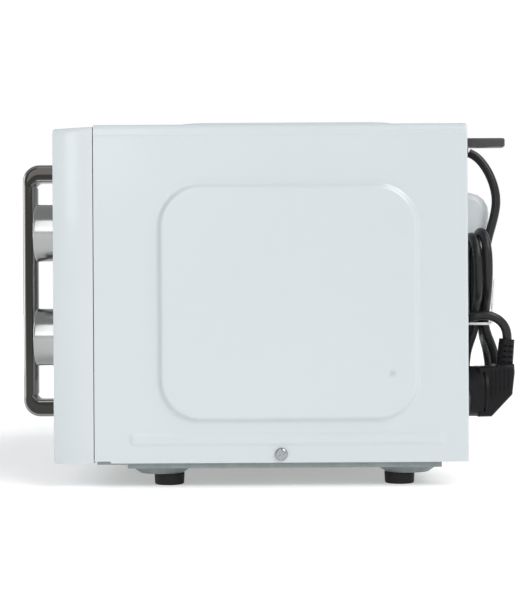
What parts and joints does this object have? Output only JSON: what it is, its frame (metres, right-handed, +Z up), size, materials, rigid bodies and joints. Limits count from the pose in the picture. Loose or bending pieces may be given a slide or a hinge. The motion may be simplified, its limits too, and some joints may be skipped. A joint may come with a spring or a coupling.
{
  "type": "microwave oven",
  "caption": "Countertop microwave oven with a side-hinged door, loop handle, two turning knobs, turntable on a roller ring, cooling fan and a tied mains cord.",
  "frame": {"origin": "middle of the footprint, at the underside of the feet, measured without the cord and plug", "axes": "+Z up, the door and knobs face -Y, +X is the side with the controls"},
  "size_m": [0.446, 0.3703, 0.265],
  "materials": {
    "white_paint": "semi-gloss baked enamel",
    "white_plastic": "gloss",
    "zinc_sheet": "galvanised",
    "chrome": "bright plated",
    "dark_glass": "dark tinted",
    "mesh_sheet": "dark perforated sheet",
    "grey_plastic": "matte",
    "black_plastic": "fine texture",
    "black_rubber": "matte",
    "clear_glass": "clear",
    "mica": "mica sheet",
    "core_steel": "laminations",
    "copper_wire": "enamelled copper winding",
    "aluminium": "plain",
    "green_board": "circuit board",
    "screw_steel": "zinc plated",
    "cord_pvc": "satin PVC jacket",
    "white_tie": "coated wire tie"
  },
  "bodies": {
    "case": {"cabinet": "white_paint", "rear_panel": "white_paint", "cavity": "white_paint", "front_plate": "white_paint", "base_plate": "zinc_sheet", "waveguide": "zinc_sheet", "capacitor_clamp": "zinc_sheet", "foot_front_left": "black_rubber", "foot_front_right": "black_rubber", "foot_rear_left": "black_rubber", "foot_rear_right": "black_rubber", "cord_gland": "black_rubber", "rear_spacer": "grey_plastic", "lamp": "grey_plastic", "fan_shroud": "grey_plastic", "air_duct": "grey_plastic", "power_selector": "grey_plastic", "timer_unit": "grey_plastic", "side_screw_right": "screw_steel", "side_screw_left": "screw_steel", "hinge_lower": "screw_steel", "hinge_upper": "screw_steel", "waveguide_cover": "mica", "magnetron": "aluminium", "turntable_motor": "aluminium", "capacitor": "aluminium", "control_panel": "white_plastic", "thermal_cutout": "black_plastic", "latch_bracket": "black_plastic", "primary_switch": "black_plastic", "secondary_switch": "black_plastic", "monitor_switch": "black_plastic", "plug": "black_plastic", "transformer_core": "core_steel", "fan_motor": "core_steel", "transformer_coil": "copper_wire", "filter_board": "green_board", "cord_lead": "cord_pvc", "cord_tail": "cord_pvc", "cord_hank": "cord_pvc", "cord_tie": "white_tie"},
    "door": {"door_frame": "white_plastic", "door_glass": "dark_glass", "door_choke": "mesh_sheet", "choke_cover": "grey_plastic", "handle": "chrome", "handle_screw_upper": "screw_steel", "handle_screw_lower": "screw_steel"},
    "latch": {"latch_hooks": "white_plastic"},
    "power_control": {"power_knob": "chrome", "power_shaft": "screw_steel"},
    "timer_control": {"timer_knob": "chrome", "timer_shaft": "screw_steel"},
    "fan": {"fan_blade": "grey_plastic"},
    "turntable": {"glass_tray": "clear_glass", "coupler": "white_plastic"},
    "ring": {"roller_ring": "grey_plastic"},
    "wheel_1": {"roller_1": "grey_plastic"},
    "wheel_2": {"roller_2": "grey_plastic"},
    "wheel_3": {"roller_3": "grey_plastic"}
  },
  "joints": [
    {"name": "door_hinge", "type": "hinge", "parent": "case", "child": "door", "pos_m": [-0.2126, -0.1223, 0.138], "axis": [0, 0, -1], "range_deg": [0, 100]},
    {"name": "latch_slide", "type": "slide", "parent": "door", "child": "latch", "axis": [0, 0, 1], "range_m": [0, 0.003], "stiffness_N_per_m": 600},
    {"name": "power_knob_turn", "type": "hinge", "parent": "case", "child": "power_control", "pos_m": [0.167, -0.1441, 0.1836], "axis": [0, 1, 0], "range_deg": [0, 240]},
    {"name": "timer_knob_turn", "type": "hinge", "parent": "case", "child": "timer_control", "pos_m": [0.167, -0.1441, 0.1063], "axis": [0, 1, 0], "range_deg": [0, 320]},
    {"name": "fan_spin", "type": "hinge", "parent": "case", "child": "fan", "pos_m": [0.135, 0.1095, 0.163], "axis": [0, 1, 0], "continuous": true},
    {"name": "turntable_spin", "type": "hinge", "parent": "case", "child": "turntable", "pos_m": [-0.0595, 0.0085, 0.04], "axis": [0, 0, 1], "continuous": true},
    {"name": "ring_spin", "type": "hinge", "parent": "case", "child": "ring", "pos_m": [-0.0595, 0.0085, 0.04], "axis": [0, 0, 1], "continuous": true},
    {"name": "wheel_1_spin", "type": "hinge", "parent": "ring", "child": "wheel_1", "pos_m": [-0.0595, 0.1, 0.0393], "axis": [0, 1, 0], "continuous": true},
    {"name": "wheel_2_spin", "type": "hinge", "parent": "ring", "child": "wheel_2", "pos_m": [-0.13874, -0.03725, 0.0393], "axis": [-0.866, -0.5, 0], "continuous": true},
    {"name": "wheel_3_spin", "type": "hinge", "parent": "ring", "child": "wheel_3", "pos_m": [0.01974, -0.03725, 0.0393], "axis": [0.866, -0.5, 0], "continuous": true}
  ],
  "couplings": [
    {"joint": "ring_spin", "follows": "turntable_spin", "ratio": 0.5},
    {"joint": "wheel_1_spin", "follows": "turntable_spin", "ratio": -6.5357},
    {"joint": "wheel_2_spin", "follows": "turntable_spin", "ratio": -6.5357},
    {"joint": "wheel_3_spin", "follows": "turntable_spin", "ratio": -6.5357}
  ]
}
